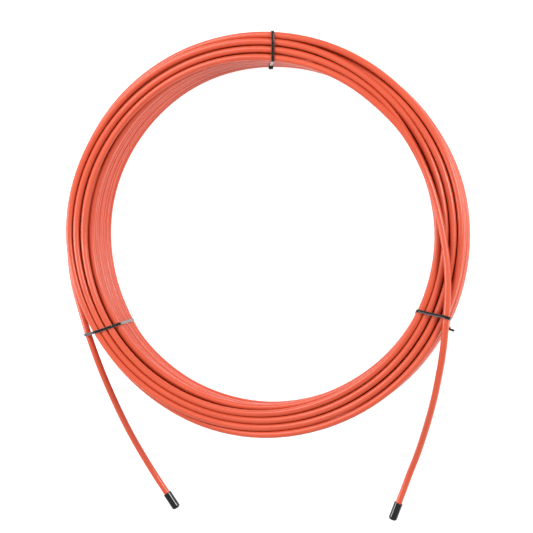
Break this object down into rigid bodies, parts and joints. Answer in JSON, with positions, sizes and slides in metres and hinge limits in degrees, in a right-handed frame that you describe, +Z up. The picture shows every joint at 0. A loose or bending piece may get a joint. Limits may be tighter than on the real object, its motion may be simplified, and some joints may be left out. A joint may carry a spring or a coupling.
{
  "type": "cable push rod coil",
  "caption": "Flat-wound coil of jacketed fibreglass rod for pushing and pulling cables, held by ties, with a push-on cap on each free end.",
  "frame": {"origin": "bottom centre of the whole object's box, on the floor that the coil lies on", "axes": "+Z up along the coil's axis; the two free ends run towards -Y, the one that climbs the outer wall on the -X side and the one that crosses over the turns on the +X side"},
  "size_m": [0.3632, 0.4375, 0.0692],
  "materials": {
    "jacket": "smooth extruded jacket with a soft sheen",
    "core": "bare glass-fibre rod",
    "cap": "glossy dip-moulded vinyl",
    "tie": "satin moulded nylon"
  },
  "bodies": {
    "coil": {"rod_coil": "jacket", "rod_end_left_jacket": "jacket", "rod_end_left_core": "core", "rod_end_right_jacket": "jacket", "rod_end_right_core": "core", "cable_tie_top": "tie", "cable_tie_left": "tie", "cable_tie_right": "tie"},
    "cap_left": {"end_cap_left": "cap"},
    "cap_right": {"end_cap_right": "cap"}
  },
  "joints": [
    {"name": "cap_left_slide", "type": "slide", "parent": "coil", "child": "cap_left", "axis": [0.5505, -0.8306, -0.0833], "range_m": [0, 0.02]},
    {"name": "cap_right_slide", "type": "slide", "parent": "coil", "child": "cap_right", "axis": [-0.3525, -0.9336, -0.0643], "range_m": [0, 0.02]}
  ]
}
